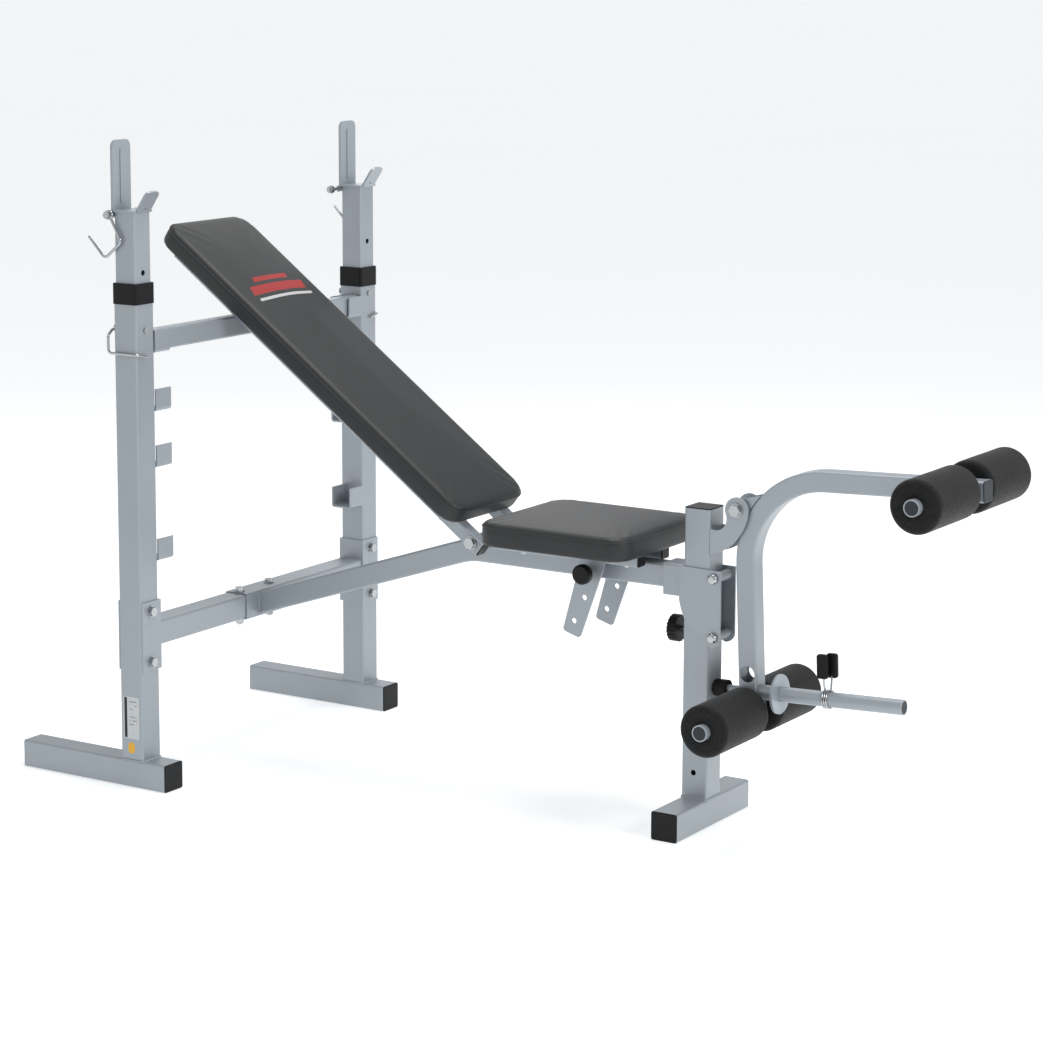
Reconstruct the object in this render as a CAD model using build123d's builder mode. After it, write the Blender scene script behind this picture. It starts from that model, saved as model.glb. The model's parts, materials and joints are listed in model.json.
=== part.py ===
from build123d import *
import os
from math import atan2, cos, radians, sin, tan

# Adjustable weight bench: two telescoping bar uprights, a back rest that leans on a movable support
# bar, a tilting seat and a leg developer with foam rollers and a weight peg.
# +X runs from the uprights to the leg developer, +Y to the left of a person seated facing +X, +Z up.
# The origin is on the floor, in the middle of the bench's length and width. All sizes in millimetres.
# Positions along X are counted from the uprights' centre line, and the planes below add UPRIGHT_X.

# --- Tubes and plates ---------------------------------------------------------------------------
TUBE = 50.0             # frame tube, outside
TUBE_WALL = 2.0
SLIDER = 45.0           # tubes that telescope inside the frame tube
BEAM = 40.0             # main beam under the seat
ARM = 35.0              # leg developer's tube
RAIL = 25.0             # seat and back rest rails
RAIL_WALL = 1.5
PLATE = 3.0             # bracket and gusset plate
FIT = 0.08              # radial clearance of a turning or sliding fit
SNUG = 0.15             # clearance round plugs, bolts and studs that don't move

# A bolt's sizes, as shares of its diameter.
WASHER_THICK = 0.2
WASHER_RADIUS = 1.0
HEAD_THICK = 0.6
HEX_RADIUS = 0.88
DOME_RADIUS = 0.95
DOME_ROUND = 0.55
NUT_THICK = 0.8
SHANK_PAST = 1.1        # shank beyond the washer on the nut's side

CAP_FLANGE = 2.0        # plastic cap over a tube's end
CAP_EDGE = 1.0
CAP_PLUG = 14.0

# --- Uprights -----------------------------------------------------------------------------------
UPRIGHT_Y = 340.0
FOOT_BACK = -256.0
FOOT_FRONT = 73.0
UPRIGHT_TOP = 877.0
POST_BOTTOM = 560.0
POST_TOP = 1036.0
PIN_Z = 828.0
HOLE_PITCH = 102.0
HOLE_COUNT = 4
HOLE_STEPS_UP = 1       # holes above the one that the pin is in
PIN = 10.0
PIN_HEAD = 16.0
PIN_HEAD_LENGTH = 16.0
PIN_TIP = 3.0
COLLAR = 54.0
COLLAR_CORNER = 6.0
COLLAR_HEIGHT = 37.0
COLLAR_WEB = 3.0
COLLAR_SKIRT_GAP = 0.2
COLLAR_GUIDE_GAP = 0.5
COLLAR_EDGE = 1.5
COLLAR_TOP = {1: 880.0, -1: 912.0}      # the right collar has slid up its post

# --- Catches and safety hooks on the sliding posts ----------------------------------------------
CATCH_WIDTH = 49.0
CATCH_BACK = -27.0
CATCH_BASE = 4.0
CATCH_PLATE = 5.0
CATCH_TOP = 1162.5
CATCH_CORNER = 13.0
CATCH_RIB = (96.0, 9.0, 1.5)            # length, width and height of the pressed rib
LIP_LEAN = 34.0
LIP_WIDTH = 37.0
LIP_LENGTH = 45.0
LIP_CORNER = 10.0
LIP_HOLE = 5.0
LIP_HOLE_UP = 9.0
BARREL_X = -29.0
BARREL_Z = 1031.5
BARREL = 12.0
HOOK_BOLT = 8.0
HOOK_BOLT_IN = 30.0                     # how far the bolt sticks out of the barrel's inner end
WIRE = 5.0
WIRE_Y = 368.0                          # plane of the wires, outside each upright
HOOK_ELBOW = (-2.0, 985.0)
HOOK_TOE = (-40.0, 954.0)
HOOK_TIP = (-76.0, 991.7)
HOOK_BEND = 9.0
BAIL_X = -36.0
BAIL_FRONT_X = 28.2
BAIL_EYE = 16.0                         # straight part of the bail, in and beside the pin's head
BAIL_Z = 787.0
BAIL_END_Z = 782.0
BAIL_BEND = 8.0

# --- Bar hooks and support bar ------------------------------------------------------------------
HOOK_MID_X = 4.5
HOOK_WIDTH = 45.0
HOOK_HEIGHT = 40.0
HOOK_REACH = 42.0
HOOK_CORNER = 6.0
HOOK_FLOORS = (785.3, 680.5, 579.5, 410.0)   # underside of each pair of hooks
BAR_X = 8.7
BAR_WIDTH = 25.0
BAR_HEIGHT = 38.0
BAR_HALF = 312.0

# --- Cross member -------------------------------------------------------------------------------
CROSS_Z = 277.0
BRACKET_LOW = 214.5
BRACKET_HIGH = 340.5
BRACKET_REACH = 51.0
BRACKET_BOLT_Z = (230.3, 322.4)
SLEEVE_END_Y = -57.0
CROSS_TUBE_END_Y = 62.0
SLEEVE_BOLT_Y = (-47.0, 44.0)
BOLT = 10.0

# --- Main beam, front post and gussets ----------------------------------------------------------
BEAM_Z = 433.0
BEAM_RISE = 18.3
BEAM_BEND = 140.0
FRONT_X = 964.0
FRONT_TOP = 557.0
FRONT_FOOT_HALF = 129.5
SOCKET_BACK = 899.0
SOCKET_HEIGHT = 56.0
SOCKET_Z = 429.0
SOCKET_CORNER = 4.0
GUSSET_TOP = ((932.0, 398.0), (932.0, 456.0), (1012.0, 454.0), (1012.0, 336.0))
GUSSET_TOE = (1006.0, 325.0)
GUSSET_LOW = (994.0, 320.5)
GUSSET_BELLY = (957.5, 345.0)
GUSSET_BOLT_X = 998.2
GUSSET_BOLT_Z = (337.5, 440.0)
SPACER = 18.0
POST_HOLE = (962.4, 95.5)
KNOB_Z = 340.0
KNOB_BACK = 905.0
KNOB = 47.0
KNOB_THICK = 16.0
KNOB_RIBS = 20
KNOB_GROOVE = 1.6
STUD = 10.0
STUD_END = 948.0
STUD_NUT = 17.0
STUD_NUT_LENGTH = 8.0

# --- Leg developer ------------------------------------------------------------------------------
ARM_PIVOT = (1039.0, 562.5)
ARM_TILT = 2.3
ARM_LEG_X = 9.4                         # the leg's centre line, from the pivot, in the arm's own axes
ARM_FOOT_Z = -370.0
ARM_FOOT_PLUG = 8.0                     # short, to clear the lower roller tube
ARM_BEND = 150.5
ARM_TOP_Z = 56.3
ARM_REACH = 446.7
EAR_IN = 22.0
EAR_NOSE = 22.0
EAR_BELLY = ((989.0, 481.0), (1035.0, 506.5), (1060.5, 556.0))
EAR_NOTCH = ((1017.5, 556.0), (1004.0, 524.5), (989.0, 526.0))
PIVOT_BOLT = 12.0
BUSH = 30.0
BUSH_LENGTH = 41.0
LUG_RADIUS = 16.5
LUG_SPREAD = 14.0
LUG_FOOT = 2.0
ROLLER_TUBE = 28.0
ROLLER_TUBE_WALL = 2.0
ROLLER = 90.0
ROLLER_EDGE = 10.0
ROLLER_IN = 22.0
ROLLER_SPAN = {"upper": 162.0, "lower": 155.5}
ROLLER_AT = {"upper": (401.0, 56.3), "lower": (9.4, -347.0)}
ROLLER_TUBE_PROUD = 10.0
SPARE_HOLE_Z = -282.5
PEG = 26.0
PEG_Z = -315.0
PEG_END = 292.6
DISC = 68.0
DISC_THICK = 4.0
DISC_X = 60.0
STUB = 14.0
STUB_LENGTH = 28.5
BUMPER = 30.0
BUMPER_LENGTH = 24.9
BUMPER_EDGE = 4.0

# --- Spring collar on the weight peg ------------------------------------------------------------
COIL_X = 153.0
COIL_WIRE = 3.5
COIL_TURNS = 3
COIL_PITCH = 3.8
GRIP = (20.0, 42.0, 8.0)                # width, length and thickness of a paddle
GRIP_CORNER = 5.0
GRIP_EDGE = 2.0
GRIP_OUT = 36.0                         # paddle's near end, from the peg's centre line
GRIP_Y = 7.0
GRIP_BORE = 16.0                        # depth that a coil's end sits in its paddle

# --- Back rest and seat -------------------------------------------------------------------------
BACK_PIVOT = (542.5, 461.0)
BACK_TILT = 36.1
BACK_RAIL_Y = 68.5
BACK_RAIL_LOW = -20.0
BACK_RAIL_HIGH = 807.0
BACK_PAD = (39.0, 842.0, 236.0, 40.0)   # low end and high end along the rails, width, thickness
BACK_PAD_CORNER = 34.0
BACK_SCREWS = (78.0, 713.0)
SEAT_RAIL_Y = 41.5
SEAT_RAIL_FRONT = 864.0
SEAT_PAD = (584.5, 885.0, 283.0, 44.5)
SEAT_PAD_CORNER = 40.0
SEAT_SCREWS = (628.0, 838.0)
PAD_EDGE = 13.0
BOARD = 12.0
BOARD_INSET = 4.0
SCREW = 6.0
SCREW_HEAD = 14.0
SCREW_HEAD_HEIGHT = 4.5
SCREW_HEAD_ROUND = 3.6
TILT_OUTLINE = (
    (755.0, 469.0), (806.0, 469.0), (802.0, 449.0), (752.0, 311.5),
    (717.0, 322.0), (736.0, 391.0), (752.0, 449.0),
)
TILT_CORNER = 6.0
TILT_RADIUS = 231.0
TILT_FIRST = -7.36
TILT_STEP = -12.0
TILT_HOLES = 3
SLEEVE_ON_BEAM = 16.0
SLEEVE_ON_BEAM_HALF = 28.0
SEAT_BOSS = 20.0
SEAT_BOSS_LENGTH = 7.0
SEAT_PIN = 9.8
SEAT_PIN_IN = -30.0
SEAT_KNOB_IN = -74.0
SEAT_KNOB = 35.0
SEAT_KNOB_THICK = 16.0
WASHER_GAP = 0.4

# --- Worked-out places --------------------------------------------------------------------------
ARM_COS = cos(radians(ARM_TILT))
ARM_SIN = sin(radians(ARM_TILT))
BACK_COS = cos(radians(BACK_TILT))
BACK_SIN = sin(radians(BACK_TILT))
ARM_FRONT = ARM_PIVOT[0] + ARM_REACH * ARM_COS - (ARM_TOP_Z - ARM / 2) * ARM_SIN
UPRIGHT_X = -(FOOT_BACK - CAP_FLANGE + ARM_FRONT) / 2
UPRIGHT_FACE = UPRIGHT_Y - TUBE / 2     # inner face of an upright, from the middle plane
FRONT_BACK = FRONT_X - TUBE / 2
BEND_X = TUBE / 2 + (BEAM_Z - CROSS_Z) / tan(radians(BEAM_RISE))
BOTH = {"left": 1, "right": -1}


def side_plane(y, x=0, z=0):
    """Plane seen from the right: sketch x along +X, sketch y up, extrusion towards -Y."""
    return Plane(origin=(UPRIGHT_X + x, y, z), x_dir=(1, 0, 0), z_dir=(0, -1, 0))


def cross_plane(x, y=0, z=0):
    """Plane across the bench: sketch x along +Y, sketch y up, extrusion towards +X."""
    return Plane(origin=(UPRIGHT_X + x, y, z), x_dir=(0, 1, 0), z_dir=(1, 0, 0))


def floor_plane(z, x=0, y=0):
    """Level plane: sketch x along +X, sketch y along +Y, extrusion up."""
    return Plane(origin=(UPRIGHT_X + x, y, z), x_dir=(1, 0, 0), z_dir=(0, 0, 1))


def arm_point(x, z, y=0):
    """Point in the developer arm's own axes, where x runs forward and z up from its pivot."""
    along = ARM_PIVOT[0] + x * ARM_COS - z * ARM_SIN
    return (UPRIGHT_X + along, y, ARM_PIVOT[1] + x * ARM_SIN + z * ARM_COS)


def arm_side(x=0, z=0, y=0):
    """Side plane that leans with the developer arm."""
    return Plane(origin=arm_point(x, z, y), x_dir=(ARM_COS, 0, ARM_SIN), z_dir=(0, -1, 0))


def arm_front(x, z):
    """Plane across the developer arm, facing along the weight peg."""
    return Plane(origin=arm_point(x, z), x_dir=(0, 1, 0), z_dir=(ARM_COS, 0, ARM_SIN))


def arm_top(x, z):
    """Plane across the arm's leg, facing up it."""
    return Plane(origin=arm_point(x, z), x_dir=(0, 1, 0), z_dir=(-ARM_SIN, 0, ARM_COS))


def back_point(along, out, y=0):
    """Point on the back rest: along its rails from the pivot and out from their centre line."""
    x = UPRIGHT_X + BACK_PIVOT[0] - along * BACK_COS + out * BACK_SIN
    return (x, y, BACK_PIVOT[1] + along * BACK_SIN + out * BACK_COS)


def back_end(along, y=0):
    """Plane across a back rest rail, facing up the rail."""
    return Plane(origin=back_point(along, 0, y), x_dir=(0, 1, 0), z_dir=(-BACK_COS, 0, BACK_SIN))


def back_face(along, out, y=0):
    """Plane parallel to the back rest's face, with sketch x up the rails."""
    normal = (BACK_SIN, 0, BACK_COS)
    return Plane(origin=back_point(along, out, y), x_dir=(-BACK_COS, 0, BACK_SIN), z_dir=normal)


def turned(plane):
    """The same plane facing the other way."""
    return Plane(origin=plane.origin, x_dir=plane.x_dir, z_dir=plane.z_dir * -1)


def tube(plane, length, width, height, wall):
    """Straight rectangular tube whose section lies on the plane."""
    with BuildPart() as piece:
        with BuildSketch(plane):
            RectangleRounded(width, height, 2 * wall)
            RectangleRounded(width - 2 * wall, height - 2 * wall, wall, mode=Mode.SUBTRACT)
        extrude(amount=length)
    return piece


def pipe(plane, length, outer, inner):
    """Round tube, or a rod when the inner diameter is 0, standing on the plane."""
    with BuildPart() as piece:
        with BuildSketch(plane):
            Circle(outer / 2)
            if inner > 0:
                Circle(inner / 2, mode=Mode.SUBTRACT)
        extrude(amount=length)
    return piece


def bent_tube(points, radius, size, wall, plane):
    """Square tube bent in a side plane, with its centre line through the points."""
    with BuildPart() as piece:
        with BuildLine(plane) as path:
            FilletPolyline(*points, radius=radius)
        with BuildSketch(Plane(origin=path.line @ 0, x_dir=(0, 1, 0), z_dir=path.line % 0)):
            RectangleRounded(size, size, 2 * wall)
            RectangleRounded(size - 2 * wall, size - 2 * wall, wall, mode=Mode.SUBTRACT)
        sweep()
    return piece


def wire(points, bend, diameter):
    """Round wire through the points, with bent corners."""
    with BuildPart() as piece:
        with BuildLine() as path:
            FilletPolyline(*points, radius=bend)
        with BuildSketch(Plane(origin=path.line @ 0, z_dir=path.line % 0)):
            Circle(diameter / 2)
        sweep()
    return piece


def end_cap(plane, width, height, wall, depth=CAP_PLUG):
    """Push-in cap: a bevelled flange over the tube's end and a plug inside the tube."""
    inside = 2 * (wall + SNUG)
    with BuildPart() as piece:
        with BuildSketch(plane):
            RectangleRounded(width, height, 2 * wall)
        extrude(amount=CAP_FLANGE - CAP_EDGE)
        with BuildSketch(plane.offset(CAP_FLANGE - CAP_EDGE)):
            RectangleRounded(width, height, 2 * wall)
        extrude(amount=CAP_EDGE, taper=45)
        with BuildSketch(plane):
            RectangleRounded(width - inside, height - inside, wall)
        extrude(amount=-depth)
    return piece


def plug(plane, outer, wall):
    """Flush plug inside the end of a round tube."""
    return pipe(plane, -CAP_PLUG, outer - 2 * (wall + SNUG), 0)


def fastener(plane, grip, diameter, dome=False):
    """Bolt with its washers and nut: the head stands out of the plane, the shank runs back."""
    washer = WASHER_THICK * diameter
    shank_past = washer + SHANK_PAST * diameter
    far = turned(plane.offset(-grip))
    out = Axis(plane.origin, plane.z_dir)
    with BuildPart() as bolt:
        with BuildSketch(plane.offset(-grip - shank_past)):
            Circle(diameter / 2)
        extrude(amount=grip + shank_past)
        with BuildSketch(plane):
            Circle(WASHER_RADIUS * diameter)
        extrude(amount=washer)
        with BuildSketch(plane.offset(washer)):
            if dome:
                Circle(DOME_RADIUS * diameter)
            else:
                RegularPolygon(HEX_RADIUS * diameter, 6)
        extrude(amount=HEAD_THICK * diameter)
        if dome:
            fillet(bolt.faces().sort_by(out)[-1].edges(), DOME_ROUND * diameter)
    with BuildPart() as nut:
        with BuildSketch(far):
            Circle(WASHER_RADIUS * diameter)
            Circle(diameter / 2 + FIT, mode=Mode.SUBTRACT)
        extrude(amount=washer)
        with BuildSketch(far.offset(washer)):
            RegularPolygon(HEX_RADIUS * diameter, 6)
            Circle(diameter / 2 + FIT, mode=Mode.SUBTRACT)
        extrude(amount=NUT_THICK * diameter)
    return [bolt, nut]


def screw(plane, depth):
    """Domed screw: the head stands out of the plane, the shank goes into it."""
    out = Axis(plane.origin, plane.z_dir)
    with BuildPart() as piece:
        with BuildSketch(plane):
            Circle(SCREW / 2)
        extrude(amount=-depth)
        with BuildSketch(plane):
            Circle(SCREW_HEAD / 2)
        extrude(amount=SCREW_HEAD_HEIGHT)
        fillet(piece.faces().sort_by(out)[-1].edges(), SCREW_HEAD_ROUND)
    return piece


def cushion(plane, length, width, height, corner):
    """Upholstered pad wrapped round its board, with its underside on the plane."""
    out = Axis(plane.origin, plane.z_dir)
    with BuildPart() as piece:
        with BuildSketch(plane):
            RectangleRounded(length, width, corner)
        extrude(amount=height)
        fillet(piece.faces().sort_by(out)[-1].edges(), PAD_EDGE)
        with BuildSketch(plane):
            inset = 2 * BOARD_INSET
            RectangleRounded(length - inset, width - inset, corner - BOARD_INSET)
        extrude(amount=BOARD, mode=Mode.SUBTRACT)
    return piece


def board(plane, length, width, corner, screw_planes):
    """Wooden board inside a pad, drilled for its screws."""
    inset = 2 * BOARD_INSET
    with BuildPart() as piece:
        with BuildSketch(plane):
            RectangleRounded(length - inset, width - inset, corner - BOARD_INSET)
        extrude(amount=BOARD)
        with Locations(*screw_planes):
            Hole(SCREW / 2 + SNUG)
    return piece


def group(pieces):
    """Several separate pieces as one node."""
    with BuildPart() as together:
        for piece in pieces:
            add(piece.part)
    return together


def write(piece, label):
    """Label a finished piece and write its STEP file."""
    piece.part.label = label
    export_step(piece.part, f"parts/{label}.step")


os.makedirs("parts", exist_ok=True)


# --- Upright assemblies -------------------------------------------------------------------------
def rear_foot(sign):
    """Floor tube under an upright."""
    plane = cross_plane(FOOT_BACK, sign * UPRIGHT_Y, TUBE / 2)
    return tube(plane, FOOT_FRONT - FOOT_BACK, TUBE, TUBE, TUBE_WALL)


def upright(sign):
    """Outer upright, drilled for the lock pin and the bracket bolts."""
    y = sign * UPRIGHT_Y
    with BuildPart() as piece:
        add(tube(floor_plane(TUBE, 0, y), UPRIGHT_TOP - TUBE, TUBE, TUBE, TUBE_WALL).part)
        with Locations(cross_plane(0, y, PIN_Z)):
            Hole(PIN / 2 + SNUG)
        with Locations(*[cross_plane(0, y, z) for z in BRACKET_BOLT_Z]):
            Hole(BOLT / 2 + SNUG)
    return piece


def inner_post(sign):
    """Sliding post with its row of height holes."""
    y = sign * UPRIGHT_Y
    top_hole = PIN_Z + HOLE_STEPS_UP * HOLE_PITCH
    with BuildPart() as piece:
        add(tube(floor_plane(POST_BOTTOM, 0, y), POST_TOP - POST_BOTTOM, SLIDER, SLIDER, TUBE_WALL).part)
        with Locations(*[cross_plane(0, y, top_hole - i * HOLE_PITCH) for i in range(HOLE_COUNT)]):
            Hole(PIN / 2 + SNUG)
    return piece


def post_collar(sign):
    """Plastic collar: a skirt over the upright's top and a web that guides the sliding post."""
    y = sign * UPRIGHT_Y
    top = COLLAR_TOP[sign]
    skirt = TUBE + 2 * COLLAR_SKIRT_GAP
    guide = SLIDER + 2 * COLLAR_GUIDE_GAP
    with BuildPart() as piece:
        with BuildSketch(floor_plane(top - COLLAR_HEIGHT, 0, y)):
            RectangleRounded(COLLAR, COLLAR, COLLAR_CORNER)
            RectangleRounded(skirt, skirt, 2 * TUBE_WALL, mode=Mode.SUBTRACT)
        extrude(amount=COLLAR_HEIGHT - COLLAR_WEB)
        with BuildSketch(floor_plane(top - COLLAR_WEB, 0, y)):
            RectangleRounded(COLLAR, COLLAR, COLLAR_CORNER)
            RectangleRounded(guide, guide, 2 * TUBE_WALL, mode=Mode.SUBTRACT)
        extrude(amount=COLLAR_WEB)
        fillet(piece.faces().sort_by(Axis.Z)[-1].outer_wire().edges(), COLLAR_EDGE)
    return piece


def lock_pin(sign):
    """Lock pin's cross-drilled head and its tip in the upright's walls, clear of the sliding post."""
    y = sign * UPRIGHT_Y
    wall = TUBE / 2
    with BuildPart() as piece:
        with BuildSketch(cross_plane(-wall - PIN_HEAD_LENGTH, y, PIN_Z)):
            Circle(PIN_HEAD / 2)
        extrude(amount=PIN_HEAD_LENGTH)
        with BuildSketch(cross_plane(-wall, y, PIN_Z)):
            Circle(PIN / 2)
        extrude(amount=TUBE_WALL)
        with BuildSketch(cross_plane(wall - TUBE_WALL, y, PIN_Z)):
            Circle(PIN / 2)
        extrude(amount=TUBE_WALL + PIN_TIP)
        with Locations(side_plane(y, BAIL_X, PIN_Z)):
            Hole(WIRE / 2 + FIT)
    return piece


def pin_bail(sign):
    """Wire bail of a lock pin: out of the pin's head, then down and round the upright's outer side."""
    outer = sign * WIRE_Y
    middle = sign * UPRIGHT_Y
    start = UPRIGHT_X + BAIL_X
    ahead = UPRIGHT_X + BAIL_FRONT_X
    points = [
        (start, middle, PIN_Z), (start, middle + sign * BAIL_EYE, PIN_Z),
        (start, outer, PIN_Z - 2 * WIRE), (start, outer, BAIL_Z),
        (ahead, outer, BAIL_Z), (ahead, middle, BAIL_END_Z),
    ]
    return wire(points, BAIL_BEND, WIRE)


def catch(sign):
    """Bar catch: tall back plate, base on the post's top, flared lip and the hook's pivot barrel."""
    y = sign * UPRIGHT_Y
    lean = radians(LIP_LEAN)
    front = TUBE / 2
    height = CATCH_TOP - POST_TOP
    rib_length, rib_width, rib_height = CATCH_RIB
    lip_origin = (UPRIGHT_X + front, y, POST_TOP)
    lip = Plane(origin=lip_origin, x_dir=(0, 1, 0), z_dir=(cos(lean), 0, -sin(lean)))
    half = CATCH_WIDTH / 2
    with BuildPart() as piece:
        with BuildSketch(cross_plane(CATCH_BACK, y, POST_TOP)) as back:
            Rectangle(CATCH_WIDTH, height, align=(Align.CENTER, Align.MIN))
            fillet(back.vertices().group_by(Axis.Y)[-1], CATCH_CORNER)
        extrude(amount=CATCH_PLATE)
        with BuildSketch(cross_plane(CATCH_BACK + CATCH_PLATE, y, POST_TOP + height / 2)):
            SlotOverall(rib_length, rib_width, rotation=90)
        extrude(amount=rib_height)
        with BuildSketch(floor_plane(POST_TOP, CATCH_BACK, y)):
            Rectangle(front - CATCH_BACK, CATCH_WIDTH, align=(Align.MIN, Align.CENTER))
        extrude(amount=CATCH_BASE)
        with BuildSketch(lip) as flare:
            Rectangle(LIP_WIDTH, LIP_LENGTH, align=(Align.CENTER, Align.MIN))
            fillet(flare.vertices().group_by(Axis.Y)[-1], LIP_CORNER)
            with Locations((0, LIP_HOLE_UP)):
                Circle(LIP_HOLE / 2, mode=Mode.SUBTRACT)
        extrude(amount=-CATCH_BASE)
        with BuildSketch(side_plane(y + half, BARREL_X, BARREL_Z)):
            Circle(BARREL / 2)
        extrude(amount=CATCH_WIDTH)
        with Locations(side_plane(y, BARREL_X, BARREL_Z)):
            Hole(HOOK_BOLT / 2 + SNUG)
    return piece


def hook_bolt(sign):
    """Bolt through the barrel, with its head outside the safety hook and its nut inside."""
    y = sign * (WIRE_Y + WIRE / 2 + WASHER_GAP)
    plane = side_plane(y, BARREL_X, BARREL_Z)
    outward = turned(plane) if sign > 0 else plane
    half = CATCH_WIDTH / 2
    grip = abs(y) - UPRIGHT_Y + half + HOOK_BOLT_IN - SHANK_PAST * HOOK_BOLT
    return group(fastener(outward, grip, HOOK_BOLT))


def safety_hook(sign):
    """Free-hanging wire hook with an eye round its bolt."""
    y = sign * WIRE_Y
    bore = HOOK_BOLT / 2 + FIT
    ring = bore + WIRE / 2
    arm = Vector(HOOK_ELBOW[0] - BARREL_X, 0, HOOK_ELBOW[1] - BARREL_Z).normalized()
    start = Vector(UPRIGHT_X + BARREL_X, y, BARREL_Z) + arm * ring
    bends = [(UPRIGHT_X + x, y, z) for x, z in (HOOK_ELBOW, HOOK_TOE, HOOK_TIP)]
    with BuildPart() as piece:
        add(wire([start, *bends], HOOK_BEND, WIRE).part)
        with BuildSketch(floor_plane(BARREL_Z, BARREL_X, y)):
            with Locations((ring, 0)):
                Circle(WIRE / 2)
        revolve(axis=Axis((UPRIGHT_X + BARREL_X, y, BARREL_Z), (0, 1, 0)))
    return piece


def bar_hook(sign, floor):
    """U-shaped hook on an upright's inner face, open upward."""
    with BuildPart() as piece:
        with BuildSketch(side_plane(sign * UPRIGHT_FACE, HOOK_MID_X, floor)):
            across = (Align.CENTER, Align.MIN)
            RectangleRounded(HOOK_WIDTH, 2 * HOOK_HEIGHT, HOOK_CORNER, align=across)
            with Locations((0, PLATE)):
                inside = HOOK_WIDTH - 2 * PLATE
                RectangleRounded(inside, 2 * HOOK_HEIGHT, PLATE, align=across, mode=Mode.SUBTRACT)
            with Locations((0, HOOK_HEIGHT)):
                Rectangle(HOOK_WIDTH, 2 * HOOK_HEIGHT, align=across, mode=Mode.SUBTRACT)
        extrude(amount=sign * HOOK_REACH)
    return piece


def cross_bracket(sign):
    """U-shaped bracket that wraps an upright from its inner side."""
    near = sign * (UPRIGHT_FACE - PLATE)
    outer = TUBE + 2 * PLATE
    with BuildPart() as piece:
        with BuildSketch(floor_plane(BRACKET_LOW, 0, near + sign * BRACKET_REACH / 2)):
            Rectangle(outer, BRACKET_REACH)
            with Locations((0, sign * PLATE)):
                Rectangle(TUBE, BRACKET_REACH, mode=Mode.SUBTRACT)
        extrude(amount=BRACKET_HIGH - BRACKET_LOW)
        with Locations(*[cross_plane(0, sign * UPRIGHT_Y, z) for z in BRACKET_BOLT_Z]):
            Hole(BOLT / 2 + SNUG)
    return piece


for name, sign in BOTH.items():
    write(rear_foot(sign), f"rear_foot_{name}")
    write(upright(sign), f"upright_{name}")
    write(inner_post(sign), f"inner_post_{name}")
    write(pin_bail(sign), f"pin_bail_{name}")
    write(catch(sign), f"catch_{name}")
    write(hook_bolt(sign), f"hook_bolt_{name}")
    write(safety_hook(sign), f"safety_hook_{name}")

SIGNS = tuple(BOTH.values())
write(group([post_collar(sign) for sign in SIGNS]), "post_collars")
write(group([lock_pin(sign) for sign in SIGNS]), "lock_pins")
write(group([bar_hook(sign, floor) for sign in SIGNS for floor in HOOK_FLOORS]), "bar_hooks")
write(group([cross_bracket(sign) for sign in SIGNS]), "cross_brackets")

# --- Support bar --------------------------------------------------------------------------------
bar_z = HOOK_FLOORS[0] + PLATE + BAR_HEIGHT / 2
bar_end = BAR_HALF - CAP_FLANGE
bar_plane = side_plane(bar_end, BAR_X, bar_z)
write(tube(bar_plane, 2 * bar_end, BAR_WIDTH, BAR_HEIGHT, TUBE_WALL), "support_bar")

# --- Cross member -------------------------------------------------------------------------------
web = UPRIGHT_FACE - PLATE


def cross_piece(y_from, y_to, size):
    """Level tube across the bench with its two bolt holes."""
    with BuildPart() as piece:
        add(tube(side_plane(y_to, 0, CROSS_Z), y_to - y_from, size, size, TUBE_WALL).part)
        with Locations(*[floor_plane(CROSS_Z, 0, y) for y in SLEEVE_BOLT_Y]):
            Hole(BOLT / 2 + SNUG)
    return piece


write(cross_piece(-web, CROSS_TUBE_END_Y, SLIDER), "cross_tube")
write(cross_piece(SLEEVE_END_Y, web, TUBE), "cross_sleeve")

frame_bolts = []
for y in SLEEVE_BOLT_Y:
    frame_bolts += fastener(floor_plane(CROSS_Z + TUBE / 2, 0, y), TUBE, BOLT)
bracket_grip = TUBE + 2 * PLATE
for sign in SIGNS:
    for z in BRACKET_BOLT_Z:
        plane = cross_plane(TUBE / 2 + PLATE, sign * UPRIGHT_Y, z)
        frame_bolts += fastener(plane, bracket_grip, BOLT)
write(group(frame_bolts), "frame_bolts")

# --- Main beam and front post -------------------------------------------------------------------
back_off = TUBE / 2
beam_start = (TUBE / 2 - back_off, CROSS_Z - back_off * tan(radians(BEAM_RISE)))
beam_points = [beam_start, (BEND_X, BEAM_Z), (FRONT_BACK, BEAM_Z)]
with BuildPart() as main_beam:
    add(bent_tube(beam_points, BEAM_BEND, BEAM, TUBE_WALL, side_plane(0)).part)
    split(bisect_by=cross_plane(TUBE / 2), keep=Keep.TOP)
write(main_beam, "main_beam")

with BuildPart() as beam_socket:
    with BuildSketch(cross_plane(SOCKET_BACK, 0, SOCKET_Z)):
        RectangleRounded(TUBE, SOCKET_HEIGHT, SOCKET_CORNER)
        Rectangle(TUBE - 2 * PLATE, SOCKET_HEIGHT - 2 * PLATE, mode=Mode.SUBTRACT)
    extrude(amount=FRONT_BACK - SOCKET_BACK)
write(beam_socket, "beam_socket")

foot_end = FRONT_FOOT_HALF - CAP_FLANGE
foot_plane = side_plane(foot_end, FRONT_X, TUBE / 2)
write(tube(foot_plane, 2 * foot_end, TUBE, TUBE, TUBE_WALL), "front_foot")

with BuildPart() as front_post:
    add(tube(floor_plane(TUBE, FRONT_X, 0), FRONT_TOP - TUBE, TUBE, TUBE, TUBE_WALL).part)
    with Locations(side_plane(0, *POST_HOLE)):
        Hole(BOLT / 2)
    with Locations(turned(cross_plane(FRONT_BACK, 0, KNOB_Z))):
        Hole(STUD / 2 + SNUG, depth=2 * TUBE_WALL)
write(front_post, "front_post")

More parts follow.
